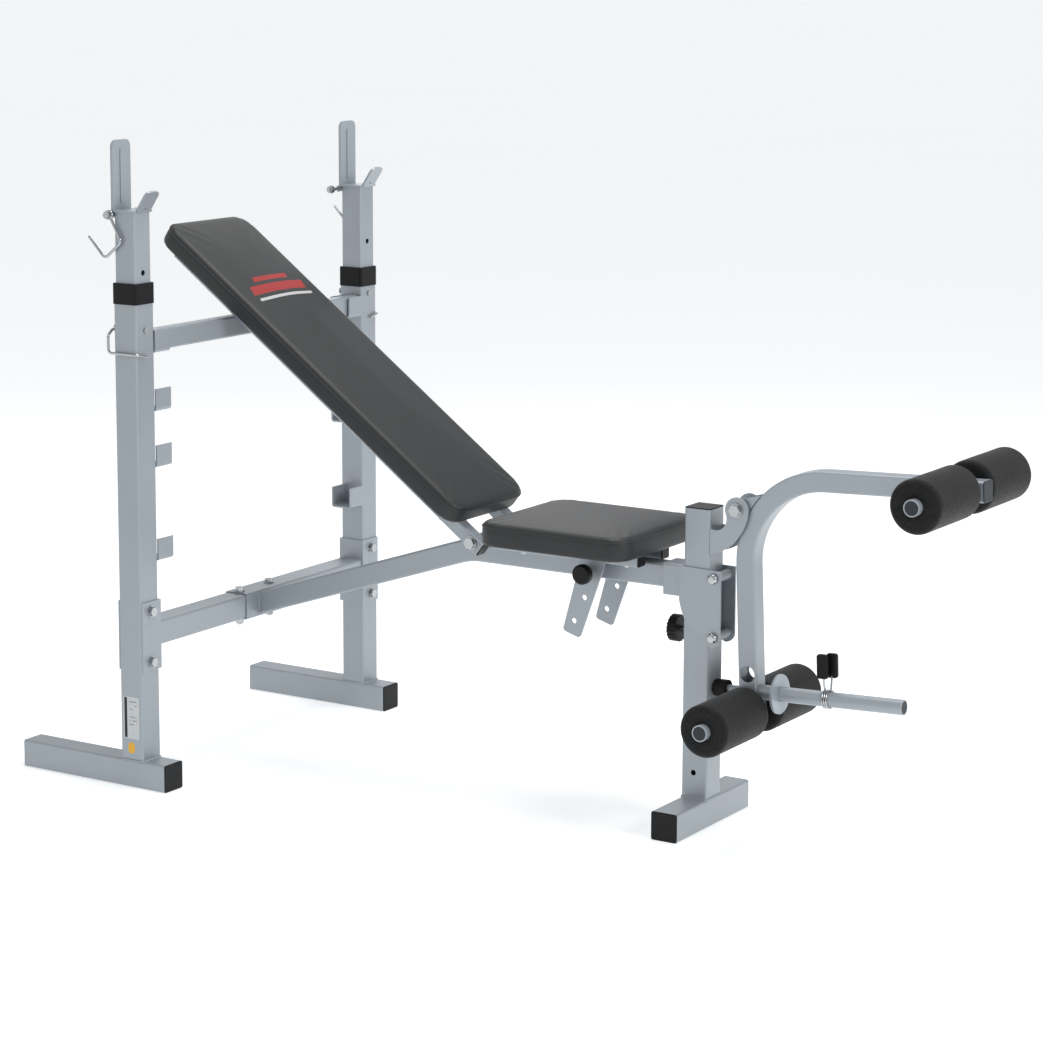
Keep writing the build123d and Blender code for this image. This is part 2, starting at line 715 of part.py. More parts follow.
with BuildPart() as gusset_plates:
    with BuildSketch(side_plane(-TUBE / 2)):
        with BuildLine():
            Polyline(*GUSSET_TOP)
            ThreePointArc(GUSSET_TOP[-1], GUSSET_TOE, GUSSET_LOW)
            ThreePointArc(GUSSET_LOW, GUSSET_BELLY, GUSSET_TOP[0])
        make_face()
        with Locations(*[(GUSSET_BOLT_X, z) for z in GUSSET_BOLT_Z]):
            Circle(BOLT / 2 + SNUG, mode=Mode.SUBTRACT)
    extrude(amount=PLATE)
    mirror(about=Plane.XZ)
write(gusset_plates, "gusset_plates")

gusset_side = TUBE / 2 + PLATE
spacers = []
gusset_bolts = []
for z in GUSSET_BOLT_Z:
    spacer_plane = side_plane(TUBE / 2, GUSSET_BOLT_X, z)
    spacers.append(pipe(spacer_plane, TUBE, SPACER, BOLT + 2 * SNUG))
    gusset_bolts += fastener(side_plane(-gusset_side, GUSSET_BOLT_X, z), 2 * gusset_side, BOLT, dome=True)
write(group(spacers), "gusset_spacers")
write(group(gusset_bolts), "gusset_bolts")

with BuildPart() as developer_ears:
    with BuildSketch(side_plane(-EAR_IN)):
        with BuildLine():
            ThreePointArc(*EAR_BELLY)
            Line(EAR_BELLY[-1], EAR_NOTCH[0])
            ThreePointArc(*EAR_NOTCH)
            Line(EAR_NOTCH[-1], EAR_BELLY[0])
        make_face()
        with Locations(ARM_PIVOT):
            Circle(EAR_NOSE)
            Circle(PIVOT_BOLT / 2 + SNUG, mode=Mode.SUBTRACT)
    extrude(amount=PLATE)
    mirror(about=Plane.XZ)
write(developer_ears, "developer_ears")

# --- Clamp knob behind the front post -----------------------------------------------------------
with BuildPart() as clamp_knob:
    with BuildSketch(cross_plane(KNOB_BACK, 0, KNOB_Z)):
        Circle(KNOB / 2)
        with PolarLocations(KNOB / 2, KNOB_RIBS):
            Circle(KNOB_GROOVE, mode=Mode.SUBTRACT)
    extrude(amount=KNOB_THICK)
write(clamp_knob, "clamp_knob")
stud_start = KNOB_BACK + KNOB_THICK
write(pipe(cross_plane(stud_start, 0, KNOB_Z), STUD_END - stud_start, STUD, 0), "clamp_stud")

# --- Bosses welded to the frame -----------------------------------------------------------------
pin_angle = radians(TILT_FIRST)
SEAT_PIN_AT = (BACK_PIVOT[0] + TILT_RADIUS * cos(pin_angle), BACK_PIVOT[1] + TILT_RADIUS * sin(pin_angle))
sleeve_plane = side_plane(SLEEVE_ON_BEAM_HALF, *BACK_PIVOT)
pivot_sleeve = pipe(sleeve_plane, 2 * SLEEVE_ON_BEAM_HALF, SLEEVE_ON_BEAM, PIVOT_BOLT + 2 * SNUG)
seat_boss = pipe(side_plane(-BEAM / 2, *SEAT_PIN_AT), SEAT_BOSS_LENGTH, SEAT_BOSS, SEAT_PIN + 2 * FIT)
with BuildPart() as stud_nut:
    with BuildSketch(cross_plane(FRONT_BACK - STUD_NUT_LENGTH, 0, KNOB_Z)):
        RegularPolygon(STUD_NUT / 2, 6, major_radius=False)
        Circle(STUD / 2 + FIT, mode=Mode.SUBTRACT)
    extrude(amount=STUD_NUT_LENGTH)
write(group([pivot_sleeve, seat_boss, stud_nut]), "welded_bosses")

# --- Pivot bolts --------------------------------------------------------------------------------
back_out = BACK_RAIL_Y + RAIL / 2 + WASHER_GAP
ear_out = EAR_IN + PLATE
pivot_bolts = fastener(side_plane(-back_out, *BACK_PIVOT), 2 * back_out, PIVOT_BOLT)
pivot_bolts += fastener(side_plane(-ear_out, *ARM_PIVOT), 2 * ear_out, PIVOT_BOLT)
write(group(pivot_bolts), "pivot_bolts")

# --- Caps on the frame's tubes ------------------------------------------------------------------
caps = []
for sign in SIGNS:
    y = sign * UPRIGHT_Y
    caps.append(end_cap(cross_plane(FOOT_FRONT, y, TUBE / 2), TUBE, TUBE, TUBE_WALL))
    caps.append(end_cap(turned(cross_plane(FOOT_BACK, y, TUBE / 2)), TUBE, TUBE, TUBE_WALL))
for x, z, reach, width, height in (
    (FRONT_X, TUBE / 2, foot_end, TUBE, TUBE),
    (BAR_X, bar_z, bar_end, BAR_WIDTH, BAR_HEIGHT),
):
    caps.append(end_cap(side_plane(-reach, x, z), width, height, TUBE_WALL))
    caps.append(end_cap(turned(side_plane(reach, x, z)), width, height, TUBE_WALL))
caps.append(end_cap(floor_plane(FRONT_TOP, FRONT_X, 0), TUBE, TUBE, TUBE_WALL))
write(group(caps), "tube_caps")

# --- Back rest ----------------------------------------------------------------------------------
rail_face = RAIL / 2
back_low, back_high, back_width, back_thick = BACK_PAD
back_mid = (back_low + back_high) / 2
back_length = back_high - back_low
back_screw_planes = [
    turned(back_face(along, -rail_face, sign * BACK_RAIL_Y)) for along in BACK_SCREWS for sign in SIGNS
]
with BuildPart() as backrest_rails:
    for sign in SIGNS:
        start = back_end(BACK_RAIL_LOW, sign * BACK_RAIL_Y)
        add(tube(start, BACK_RAIL_HIGH - BACK_RAIL_LOW, RAIL, RAIL, RAIL_WALL).part)
    with Locations(side_plane(0, *BACK_PIVOT)):
        Hole(PIVOT_BOLT / 2 + FIT)
    with Locations(*back_screw_planes):
        Hole(SCREW / 2 + SNUG)
write(backrest_rails, "backrest_rails")

rail_caps = []
for sign in SIGNS:
    y = sign * BACK_RAIL_Y
    rail_caps.append(end_cap(back_end(BACK_RAIL_HIGH, y), RAIL, RAIL, RAIL_WALL))
    rail_caps.append(end_cap(turned(back_end(BACK_RAIL_LOW, y)), RAIL, RAIL, RAIL_WALL))
write(group(rail_caps), "backrest_rail_caps")

back_plane = back_face(back_mid, rail_face)
write(cushion(back_plane, back_length, back_width, back_thick, BACK_PAD_CORNER), "backrest_pad")
backrest_board = board(back_plane, back_length, back_width, BACK_PAD_CORNER, back_screw_planes)
write(backrest_board, "backrest_board")
screw_depth = RAIL + BOARD
write(group([screw(plane, screw_depth) for plane in back_screw_planes]), "backrest_screws")

# --- Seat ---------------------------------------------------------------------------------------
seat_back, seat_front, seat_width, seat_thick = SEAT_PAD
seat_length = seat_front - seat_back
seat_plane = floor_plane(BACK_PIVOT[1] + rail_face, (seat_back + seat_front) / 2, 0)
seat_screw_planes = [
    turned(floor_plane(BACK_PIVOT[1] - rail_face, x, sign * SEAT_RAIL_Y))
    for x in SEAT_SCREWS for sign in SIGNS
]
with BuildPart() as seat_rails:
    for sign in SIGNS:
        rail_start = cross_plane(BACK_PIVOT[0] - rail_face, sign * SEAT_RAIL_Y, BACK_PIVOT[1])
        add(tube(rail_start, SEAT_RAIL_FRONT - BACK_PIVOT[0] + rail_face, RAIL, RAIL, RAIL_WALL).part)
    # The pivot end of each rail is rounded about the pivot.
    with BuildSketch(side_plane(0, *BACK_PIVOT)):
        Rectangle(rail_face, RAIL, align=(Align.MAX, Align.CENTER))
        Circle(rail_face, mode=Mode.SUBTRACT)
    extrude(amount=BACK_RAIL_Y, both=True, mode=Mode.SUBTRACT)
    with Locations(side_plane(0, *BACK_PIVOT)):
        Hole(PIVOT_BOLT / 2 + FIT)
    with Locations(*seat_screw_planes):
        Hole(SCREW / 2 + SNUG)
write(seat_rails, "seat_rails")

seat_caps = []
for sign in SIGNS:
    cap_plane = cross_plane(SEAT_RAIL_FRONT, sign * SEAT_RAIL_Y, BACK_PIVOT[1])
    seat_caps.append(end_cap(cap_plane, RAIL, RAIL, RAIL_WALL))
write(group(seat_caps), "seat_rail_caps")

tilt_angles = [radians(TILT_FIRST + i * TILT_STEP) for i in range(TILT_HOLES)]
tilt_points = [
    (BACK_PIVOT[0] + TILT_RADIUS * cos(a), BACK_PIVOT[1] + TILT_RADIUS * sin(a)) for a in tilt_angles
]
with BuildPart() as seat_tilt_plates:
    with BuildSketch(side_plane(-SEAT_RAIL_Y - rail_face)) as outline:
        with BuildLine():
            Polyline(*TILT_OUTLINE, close=True)
        make_face()
        fillet(outline.vertices().group_by(Axis.Y)[0] + outline.vertices().group_by(Axis.Y)[1], TILT_CORNER)
        with Locations(*tilt_points):
            Circle(SEAT_PIN / 2 + FIT, mode=Mode.SUBTRACT)
    extrude(amount=PLATE)
    mirror(about=Plane.XZ)
write(seat_tilt_plates, "seat_tilt_plates")

write(cushion(seat_plane, seat_length, seat_width, seat_thick, SEAT_PAD_CORNER), "seat_pad")
write(board(seat_plane, seat_length, seat_width, SEAT_PAD_CORNER, seat_screw_planes), "seat_board")
write(group([screw(plane, screw_depth) for plane in seat_screw_planes]), "seat_screws")

pin_plane = side_plane(SEAT_PIN_IN, *SEAT_PIN_AT)
write(pipe(pin_plane, SEAT_PIN_IN - SEAT_KNOB_IN, SEAT_PIN, 0), "seat_pin")
with BuildPart() as seat_knob:
    with BuildSketch(side_plane(SEAT_KNOB_IN, *SEAT_PIN_AT)):
        Circle(SEAT_KNOB / 2)
    extrude(amount=SEAT_KNOB_THICK)
    fillet(seat_knob.edges().filter_by(GeomType.CIRCLE), SEAT_KNOB_THICK / 4)
write(seat_knob, "seat_knob")

# --- Leg developer ------------------------------------------------------------------------------
arm_end = ARM_REACH - CAP_FLANGE
arm_points = [(ARM_LEG_X, ARM_FOOT_Z), (ARM_LEG_X, ARM_TOP_Z), (arm_end, ARM_TOP_Z)]
with BuildPart() as developer_arm:
    add(bent_tube(arm_points, ARM_BEND, ARM, TUBE_WALL, arm_side()).part)
    with Locations(*[arm_side(*at) for at in (*ROLLER_AT.values(), (ARM_LEG_X, SPARE_HOLE_Z))]):
        Hole(ROLLER_TUBE / 2 + FIT)
write(developer_arm, "developer_arm")

bend_centre = (ARM_LEG_X + ARM_BEND, ARM_TOP_Z - ARM_BEND)
bend_outside = ARM_BEND + ARM / 2
lug_facing = atan2(-bend_centre[1], -bend_centre[0])
lug_feet = []
for turn in (-LUG_SPREAD, LUG_SPREAD):
    angle = lug_facing + radians(turn)
    lug_feet.append((bend_centre[0] + bend_outside * cos(angle), bend_centre[1] + bend_outside * sin(angle)))
with BuildPart() as arm_pivot_lug:
    # Two cheeks run from the bush to the outside of the tube's bend.
    for cheek in (ARM / 2, PLATE - ARM / 2):
        with BuildSketch(arm_side(y=cheek)):
            Circle(LUG_RADIUS)
            with Locations(*lug_feet):
                Circle(LUG_FOOT)
            make_hull()
            with Locations(bend_centre):
                Circle(bend_outside, mode=Mode.SUBTRACT)
        extrude(amount=PLATE)
    with BuildSketch(arm_side(y=BUSH_LENGTH / 2)):
        Circle(BUSH / 2)
    extrude(amount=BUSH_LENGTH)
    with Locations(arm_side()):
        Hole(PIVOT_BOLT / 2 + FIT)
write(arm_pivot_lug, "arm_pivot_lug")

roller_tubes = []
arm_caps = [
    end_cap(arm_front(arm_end, ARM_TOP_Z), ARM, ARM, TUBE_WALL),
    end_cap(turned(arm_top(ARM_LEG_X, ARM_FOOT_Z)), ARM, ARM, TUBE_WALL, ARM_FOOT_PLUG),
]
for place, at in ROLLER_AT.items():
    half = ROLLER_IN + ROLLER_SPAN[place] + ROLLER_TUBE_PROUD
    roller_tubes.append(pipe(arm_side(*at, half), 2 * half, ROLLER_TUBE, ROLLER_TUBE - 2 * ROLLER_TUBE_WALL))
    arm_caps.append(plug(arm_side(*at, -half), ROLLER_TUBE, ROLLER_TUBE_WALL))
    arm_caps.append(plug(turned(arm_side(*at, half)), ROLLER_TUBE, ROLLER_TUBE_WALL))
write(group(roller_tubes), "roller_tubes")

arm_face = ARM_LEG_X + ARM / 2
peg_inner = PEG - 2 * TUBE_WALL
weight_peg = group([
    pipe(arm_front(arm_face, PEG_Z), PEG_END - arm_face, PEG, peg_inner),
    pipe(arm_front(DISC_X, PEG_Z), DISC_THICK, DISC, PEG),
    pipe(turned(arm_front(ARM_LEG_X - ARM / 2, PEG_Z)), STUB_LENGTH, STUB, 0),
])
write(weight_peg, "weight_peg")
arm_caps.append(plug(arm_front(PEG_END, PEG_Z), PEG, TUBE_WALL))
write(group(arm_caps), "arm_tube_caps")

bumper_plane = turned(arm_front(ARM_LEG_X - ARM / 2 - STUB_LENGTH, PEG_Z))
with BuildPart() as bumper:
    add(pipe(bumper_plane, BUMPER_LENGTH, BUMPER, 0).part)
    far_face = bumper.faces().sort_by(Axis(bumper_plane.origin, bumper_plane.z_dir))[-1]
    fillet(far_face.edges(), BUMPER_EDGE)
write(bumper, "bumper")


def foam_roller(place, sign):
    """Foam sleeve that turns on its tube."""
    bore = ROLLER_TUBE + 2 * FIT
    plane = arm_side(*ROLLER_AT[place], sign * ROLLER_IN)
    with BuildPart() as piece:
        with BuildSketch(plane):
            Circle(ROLLER / 2)
        extrude(amount=-sign * ROLLER_SPAN[place])
        fillet(piece.edges().filter_by(GeomType.CIRCLE), ROLLER_EDGE)
        with Locations(plane):
            Hole(bore / 2)
    return piece


for place in ROLLER_AT:
    for name, sign in BOTH.items():
        write(foam_roller(place, sign), f"foam_roller_{place}_{name}")

# --- Spring collar on the weight peg ------------------------------------------------------------
coil_radius = PEG / 2 + FIT + COIL_WIRE / 2
coil_half = COIL_PITCH * COIL_TURNS / 2
coil_start = arm_front(COIL_X - coil_half, PEG_Z)
coil_plane = Plane(origin=coil_start.origin, x_dir=(-ARM_SIN, 0, ARM_COS), z_dir=coil_start.z_dir)
stem_paths = []
for side in (-1, 1):
    stem_x = COIL_X + side * coil_half
    low = arm_point(stem_x, PEG_Z + coil_radius)
    high = arm_point(stem_x, PEG_Z + GRIP_OUT + GRIP_BORE, side * GRIP_Y)
    stem_paths.append((Vector(*low), Vector(*high)))


def stem(low, high, radius):
    """Straight end of the coil's wire, up into its paddle."""
    rise = high - low
    return pipe(Plane(origin=low, z_dir=rise.normalized()), rise.length, 2 * radius, 0)


coil = coil_plane.location * Helix(pitch=COIL_PITCH, height=2 * coil_half, radius=coil_radius)
with BuildPart() as collar_spring:
    with BuildSketch(Plane(origin=coil @ 0, z_dir=coil % 0)):
        Circle(COIL_WIRE / 2)
    sweep(path=coil)
    for low, high in stem_paths:
        add(stem(low, high, COIL_WIRE / 2).part)
write(collar_spring, "collar_spring")

grip_width, grip_length, grip_thick = GRIP
grips = []
for side, (low, high) in zip((-1, 1), stem_paths):
    grip_plane = arm_side(COIL_X + side * coil_half, PEG_Z + GRIP_OUT, side * GRIP_Y + grip_thick / 2)
    with BuildPart() as grip:
        with BuildSketch(grip_plane):
            with Locations((0, grip_length / 2)):
                RectangleRounded(grip_width, grip_length, GRIP_CORNER)
        extrude(amount=grip_thick)
        ends = grip.faces().sort_by(Axis.Y)
        fillet(ends[0].edges() + ends[-1].edges(), GRIP_EDGE)
        add(stem(low, high, COIL_WIRE / 2 + SNUG).part, mode=Mode.SUBTRACT)
    grips.append(grip)
write(group(grips), "collar_grips")
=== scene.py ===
"""Looks of the adjustable weight bench: painted steel, plated fasteners, vinyl pads, foam and labels."""
import json
from math import cos, radians, sin

import bpy
import numpy as np
from bpy.props import FloatProperty, FloatVectorProperty, PointerProperty
from mathutils import Matrix, Vector


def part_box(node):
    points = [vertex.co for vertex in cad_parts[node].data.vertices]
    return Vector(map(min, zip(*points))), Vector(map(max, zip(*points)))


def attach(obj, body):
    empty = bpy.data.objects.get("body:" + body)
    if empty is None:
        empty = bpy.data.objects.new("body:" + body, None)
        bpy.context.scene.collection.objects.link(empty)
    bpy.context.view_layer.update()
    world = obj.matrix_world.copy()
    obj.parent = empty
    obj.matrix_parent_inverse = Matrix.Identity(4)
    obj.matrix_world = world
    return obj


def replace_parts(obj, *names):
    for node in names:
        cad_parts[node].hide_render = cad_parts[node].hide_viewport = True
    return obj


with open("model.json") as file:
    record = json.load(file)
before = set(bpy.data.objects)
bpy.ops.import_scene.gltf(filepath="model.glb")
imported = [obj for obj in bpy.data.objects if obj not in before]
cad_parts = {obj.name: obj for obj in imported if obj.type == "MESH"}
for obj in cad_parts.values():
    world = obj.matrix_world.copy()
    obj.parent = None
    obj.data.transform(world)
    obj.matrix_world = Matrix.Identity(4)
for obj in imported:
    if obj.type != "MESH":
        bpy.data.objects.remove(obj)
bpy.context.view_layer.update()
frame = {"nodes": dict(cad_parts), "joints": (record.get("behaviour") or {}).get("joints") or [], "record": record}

bl_info = {
    "name": "Adjustable weight bench",
    "version": (1, 0, 0),
    "blender": (4, 5, 0),
    "location": "View3D > Sidebar > Bench",
    "description": "Finishes, upholstery, foam rollers, welds and labels of a weight bench",
    "category": "Object",
}

MM = 0.001
JOINTS = {joint["name"]: joint for joint in frame["joints"]}
PIVOT = Vector(JOINTS["backrest_hinge"]["pos_m"])

# Back rest, in millimetres along its rails and out from their centre line.
BACK_TILT = radians(36.1)
BACK_LOW, BACK_HIGH = 39.0, 842.0
BACK_WIDTH, BACK_THICK = 236.0, 40.0
RAIL_HALF = 12.5
BACK_CORNER, SEAT_CORNER = 34.0, 40.0

# Upholstery, in millimetres.
SLACK = 0.8             # skin inside the pad's outline, all round
SWELL_ROOM = 4.0        # left above the skin for the stuffing to fill
SEAM_DROP = 9.0         # seam below the skin's top edge
SEAM_BAND = 2.6         # skin held on each side of the seam
HELD_FOOT = 2.0         # skin held up to this height above the board
SKIN_GRID = 5.0
WRAP_UNDER = 3.0        # skin below the board's top face
EDGE_ROUND = 10.0
SIDE_BULGE = 0.6
CROWN = 2.5
WELT = 1.3
WELT_INSET = 0.6
WELT_POINTS, WELT_STITCHES = 900, 450

# Printed mark on the back rest: bars as colour, centre and half sizes, across and along the pad.
MARK_ALONG = 622.0
MARK_DEPTH = 10.0
MARK_SLANT = 0.35
MARK_RED, MARK_WHITE = "#96140F", "#B4B4B4"
MARK_BARS = (
    (MARK_RED, (0, 10), (78, 11)),
    (MARK_RED, (0, 36), (50, 6)),
    (MARK_WHITE, (0, -14), (78, 3.5)),
)

# Foam rollers, in millimetres.
ROLLER_BORE = 14.1
ROLLER_OUTER_CORNER, ROLLER_INNER_CORNER = 9.0, 3.0
ROLLER_WAVE = 0.25
ROLLER_DISH, DISH_REACH = 2.0, 9.0
ROLLER_POINTS, ROLLER_TURN = 150, 96

# Weld beads, in millimetres, as half sizes of the tubes that they go round.
POST_HALF = (25.0, 25.0)
BEAM_HALF = (20.0, 21.0)
BEAM_AXIS_UP = 21.4     # beam's centre line above its lowest point, at the sleeve
WELD_CORNER = 4.0
WELD_POINTS, WELD_RIPPLES = 400, 64

# Labels on the right upright, in millimetres: half sizes, heights and distances from its middle.
FOIL_HALF, FOIL_UP, FOIL_OFF, FOIL_CORNER = (18.0, 38.5), 128.5, -0.5, 1.5
OVAL_HALF, OVAL_UP, OVAL_OFF, OVAL_CORNER = (7.5, 10.5), 73.0, -1.0, 7.4
STICKER_THICK = 0.2

# Camera, from the bench's own frame, in millimetres and radians.
LENS = 102.05
SENSOR = 36.0
SHIFT_UP = -0.1165
EYE = (2734.2, -4346.8, 1502.9)
EYE_TILT, EYE_PAN, EYE_ROLL = radians(90 - 8.768), radians(32.343), radians(0.183)


def linear(code):
    """sRGB hex colour as the linear values that a shader takes, with alpha 1."""
    channels = np.array([int(code[i:i + 2], 16) for i in (1, 3, 5)]) / 255
    low = channels / 12.92
    high = ((channels + 0.055) / 1.055) ** 2.4
    return (*np.where(channels <= 0.04045, low, high).tolist(), 1.0)


# --- Shaders ------------------------------------------------------------------------------------
def add(tree, kind, values=None, **settings):
    """Add a node: settings are its properties, values its inputs, each a constant or an output."""
    made = tree.nodes.new("ShaderNode" + kind)
    for name, value in settings.items():
        setattr(made, name, value)
    for key, value in (values or {}).items():
        if isinstance(value, bpy.types.NodeSocket):
            tree.links.new(value, made.inputs[key])
        else:
            made.inputs[key].default_value = value
    return made


def surface(name, constants):
    """New material, its node tree and its principled shader with constant inputs set."""
    material = bpy.data.materials.new(name)
    material.use_nodes = True
    shader = material.node_tree.nodes["Principled BSDF"]
    for key, value in constants.items():
        shader.inputs[key].default_value = value
    return material, material.node_tree, shader


def per_mm(size):
    """Texture scale for a pattern whose cells are this many millimetres across."""
    return 1000.0 / size


def metres(sizes):
    """Sizes given in millimetres, in the metres that Blender works in."""
    return tuple(size * MM for size in sizes)


def place(tree):
    """Object coordinates, which every pattern here is laid out in."""
    return add(tree, "TexCoord").outputs["Object"]


def tone(tree, factor, dark, light):
    """Colour that runs from dark to light with the factor."""
    mix = add(tree, "Mix", {0: factor}, data_type="RGBA")
    mix.inputs[6].default_value = dark
    mix.inputs[7].default_value = light
    return mix.outputs[2]


def spread(tree, factor, low, high):
    """Factor from 0 to 1 stretched to run from low to high."""
    return add(tree, "MapRange", {0: factor, 3: low, 4: high}).outputs[0]


def shade(colour, factor):
    """Colour made darker or lighter by a factor."""
    return (*[min(1.0, channel * factor) for channel in colour[:3]], 1.0)


def paint(colour):
    """Silver-grey powder coat, sprayed and baked: satin, with fine metal flake and faint orange peel."""
    constants = {"Metallic": 0.35, "Coat Weight": 0.15, "Coat Roughness": 0.3}
    material, tree, shader = surface("silver_powder_coat", constants)
    at = place(tree)
    # Flake is about 0.05 mm; it is drawn at 0.6 mm so that it shows as a light sparkle.
    flake = add(tree, "TexVoronoi", {"Vector": at, "Scale": per_mm(0.6)}).outputs["Color"]
    grain = add(tree, "SeparateColor", {0: flake}).outputs[0]
    drift = add(tree, "TexNoise", {"Vector": at, "Scale": per_mm(180), "Detail": 2.0}).outputs[0]
    blend = add(tree, "Math", {0: grain, 1: 0.45}, operation="MULTIPLY").outputs[0]
    both = add(tree, "Math", {0: blend, 1: drift}, operation="ADD").outputs[0]
    mottle = tone(tree, spread(tree, both, 0.0, 1.0), shade(colour, 0.93), shade(colour, 1.07))
    tree.links.new(mottle, shader.inputs["Base Color"])
    peel = add(tree, "TexNoise", {"Vector": at, "Scale": per_mm(2.2), "Detail": 3.0}).outputs[0]
    tree.links.new(spread(tree, peel, 0.36, 0.46), shader.inputs["Roughness"])
    bump = add(tree, "Bump", {"Strength": 0.12, "Distance": 0.25 * MM, "Height": peel})
    tree.links.new(bump.outputs[0], shader.inputs["Normal"])
    return material


def plated(name, code, rough_low, rough_high, grain_mm):
    """Plated steel: a mirror-like metal whose gloss is broken by fine rubbing marks."""
    material, tree, shader = surface(name, {"Metallic": 1.0})
    at = place(tree)
    colour = linear(code)
    rub = add(tree, "TexNoise", {"Vector": at, "Scale": per_mm(grain_mm), "Detail": 4.0}).outputs[0]
    tree.links.new(tone(tree, rub, shade(colour, 0.9), colour), shader.inputs["Base Color"])
    tree.links.new(spread(tree, rub, rough_low, rough_high), shader.inputs["Roughness"])
    bump = add(tree, "Bump", {"Strength": 0.1, "Distance": 0.05 * MM, "Height": rub})
    tree.links.new(bump.outputs[0], shader.inputs["Normal"])
    return material


def moulded(name, code, rough, grain_mm):
    """Injection-moulded plastic or rubber: an even colour with the spark texture of its mould."""
    material, tree, shader = surface(name, {"Specular IOR Level": 0.22})
    at = place(tree)
    colour = linear(code)
    spark = add(tree, "TexNoise", {"Vector": at, "Scale": per_mm(grain_mm), "Detail": 4.0}).outputs[0]
    tree.links.new(tone(tree, spark, shade(colour, 0.85), shade(colour, 1.2)), shader.inputs["Base Color"])
    tree.links.new(spread(tree, spark, rough - 0.06, rough + 0.08), shader.inputs["Roughness"])
    bump = add(tree, "Bump", {"Strength": 0.25, "Distance": 0.08 * MM, "Height": spark})
    tree.links.new(bump.outputs[0], shader.inputs["Normal"])
    return material


def band(tree, across, along, centre, half, slant):
    """1 inside a leaning bar: across, sheared by the height, and along both lie within its half sizes."""
    lift = add(tree, "Math", {0: along, 1: centre[1]}, operation="SUBTRACT").outputs[0]
    shear = add(tree, "Math", {0: lift, 1: slant}, operation="MULTIPLY").outputs[0]
    shift = add(tree, "Math", {0: across, 1: shear}, operation="SUBTRACT").outputs[0]
    side = add(tree, "Math", {0: shift, 1: centre[0]}, operation="SUBTRACT").outputs[0]
    inside = []
    for value, reach in ((side, half[0]), (lift, half[1])):
        size = add(tree, "Math", {0: value}, operation="ABSOLUTE").outputs[0]
        inside.append(add(tree, "Math", {0: size, 1: reach}, operation="LESS_THAN").outputs[0])
    return add(tree, "Math", {0: inside[0], 1: inside[1]}, operation="MULTIPLY").outputs[0]


def vinyl(name, colour, mark=None):
    """Calendered PVC vinyl with an embossed leather grain; the back rest carries a printed mark."""
    constants = {"Specular IOR Level": 0.45, "Sheen Weight": 0.04, "Sheen Roughness": 0.5}
    material, tree, shader = surface(name, constants)
    at = place(tree)
    # Embossed cells are about 1.6 mm wide, with finer pores inside them.
    cells = add(tree, "TexVoronoi", {"Vector": at, "Scale": per_mm(1.6)}, feature="DISTANCE_TO_EDGE").outputs[0]
    pores = add(tree, "TexNoise", {"Vector": at, "Scale": per_mm(0.9), "Detail": 3.0}).outputs[0]
    wear = add(tree, "TexNoise", {"Vector": at, "Scale": per_mm(60), "Detail": 2.0}).outputs[0]
    base = tone(tree, wear, shade(colour, 0.9), shade(colour, 1.12))
    if mark is not None:
        turned = {"Vector": at, "Location": mark[0], "Rotation": mark[1]}
        local = add(tree, "Mapping", turned, vector_type="TEXTURE").outputs[0]
        xyz = add(tree, "SeparateXYZ", {0: local})
        across, along, out = xyz.outputs
        near = add(tree, "Math", {0: out, 1: -MARK_DEPTH * MM}, operation="GREATER_THAN").outputs[0]
        for code, centre, half in MARK_BARS:
            shape = band(tree, across, along, metres(centre), metres(half), MARK_SLANT)
            mask = add(tree, "Math", {0: shape, 1: near}, operation="MULTIPLY").outputs[0]
            mix = add(tree, "Mix", {0: mask}, data_type="RGBA")
            tree.links.new(base, mix.inputs[6])
            mix.inputs[7].default_value = linear(code)
            base = mix.outputs[2]
    tree.links.new(base, shader.inputs["Base Color"])
    tree.links.new(spread(tree, pores, 0.42, 0.56), shader.inputs["Roughness"])
    relief = add(tree, "Math", {0: cells, 1: 0.25}, operation="MINIMUM").outputs[0]
    height = add(tree, "Math", {0: relief, 1: spread(tree, pores, 0.0, 0.08)}, operation="ADD").outputs[0]
    bump = add(tree, "Bump", {"Strength": 0.22, "Distance": 0.35 * MM, "Height": height})
    tree.links.new(bump.outputs[0], shader.inputs["Normal"])
    return material


def foam(colour):
    """Closed-cell foam, cut and skinned: matt black, with painted glints, light specks in its colour where open
    cells catch the light.
    """
    material, tree, shader = surface("black_foam", {"Specular IOR Level": 0.25, "Sheen Weight": 0.08})
    at = place(tree)
    cell = add(tree, "TexVoronoi", {"Vector": at, "Scale": per_mm(2.4)})
    speck = add(tree, "SeparateColor", {0: cell.outputs["Color"]}).outputs[1]
    # Painted glints: about one cell in seven is drawn over three times lighter in the colour, standing for light
    # that open cells catch.
    painted_glint = add(tree, "Math", {0: speck, 1: 0.86}, operation="GREATER_THAN").outputs[0]
    drift = add(tree, "TexNoise", {"Vector": at, "Scale": per_mm(25), "Detail": 3.0}).outputs[0]
    base = tone(tree, drift, shade(colour, 0.8), shade(colour, 1.3))
    mix = add(tree, "Mix", {0: painted_glint}, data_type="RGBA")
    tree.links.new(base, mix.inputs[6])
    mix.inputs[7].default_value = shade(colour, 3.2)
    tree.links.new(mix.outputs[2], shader.inputs["Base Color"])
    tree.links.new(spread(tree, speck, 0.62, 0.85), shader.inputs["Roughness"])
    bump = add(tree, "Bump", {"Strength": 0.5, "Distance": 0.6 * MM, "Height": cell.outputs["Distance"]})
    tree.links.new(bump.outputs[0], shader.inputs["Normal"])
    return material


def board(name, code):
    """Raw particle board under a pad: short pale and dark chips pressed flat."""
    material, tree, shader = surface(name, {"Roughness": 0.8})
    colour = linear(code)
    chips = add(tree, "TexVoronoi", {"Vector": place(tree), "Scale": per_mm(4)}).outputs["Color"]
    chip = add(tree, "SeparateColor", {0: chips}).outputs[0]
    tree.links.new(tone(tree, chip, shade(colour, 0.7), shade(colour, 1.2)), shader.inputs["Base Color"])
    return material


